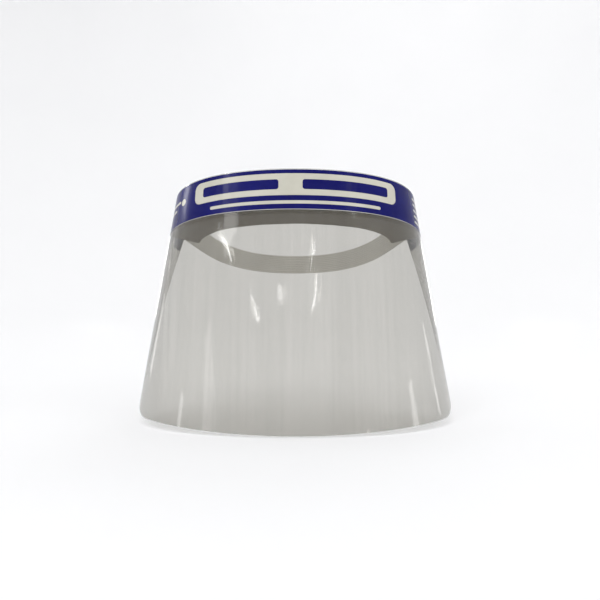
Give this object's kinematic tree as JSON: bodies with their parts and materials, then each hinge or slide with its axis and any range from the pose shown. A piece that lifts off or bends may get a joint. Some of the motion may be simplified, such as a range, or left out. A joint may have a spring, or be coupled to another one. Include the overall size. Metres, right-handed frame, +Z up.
{
  "type": "face shield",
  "caption": "Disposable face shield: clear bent film visor with a navy printed top band and white label panel, foam brow pad and stapled elastic head strap.",
  "frame": {"origin": "centre of the brow pad's flat face, which rests on the forehead", "axes": "+Z up as worn, -Y the way the wearer looks, +X to the wearer's left"},
  "size_m": [0.2704, 0.2525, 0.2135],
  "materials": {
    "clear_film": "clear glossy PET film with a faint grey tint",
    "navy_ink": "glossy printed ink",
    "white_ink": "glossy printed ink",
    "adhesive_tape": "double-sided tape",
    "foam": "open-cell foam, matte",
    "elastic": "woven elastic, matte",
    "staple_wire": "bright steel wire"
  },
  "bodies": {
    "visor": {"visor_sheet": "clear_film", "header_band": "navy_ink", "label_panel": "white_ink", "foam_adhesive": "adhesive_tape", "foam_pad": "foam", "strap_end_left": "elastic", "strap_end_right": "elastic", "strap_fold_left": "elastic", "strap_fold_right": "elastic", "staple_left_front": "staple_wire", "staple_left_rear": "staple_wire", "staple_right_front": "staple_wire", "staple_right_rear": "staple_wire"},
    "strap": {"strap_loop": "elastic"}
  },
  "joints": [
    {"name": "strap_swing", "type": "hinge", "parent": "visor", "child": "strap", "pos_m": [0, 0.064, -0.016], "axis": [1, 0, 0], "range_deg": [-75, 100], "deforming": ["strap_fold_left", "strap_fold_right"]}
  ]
}
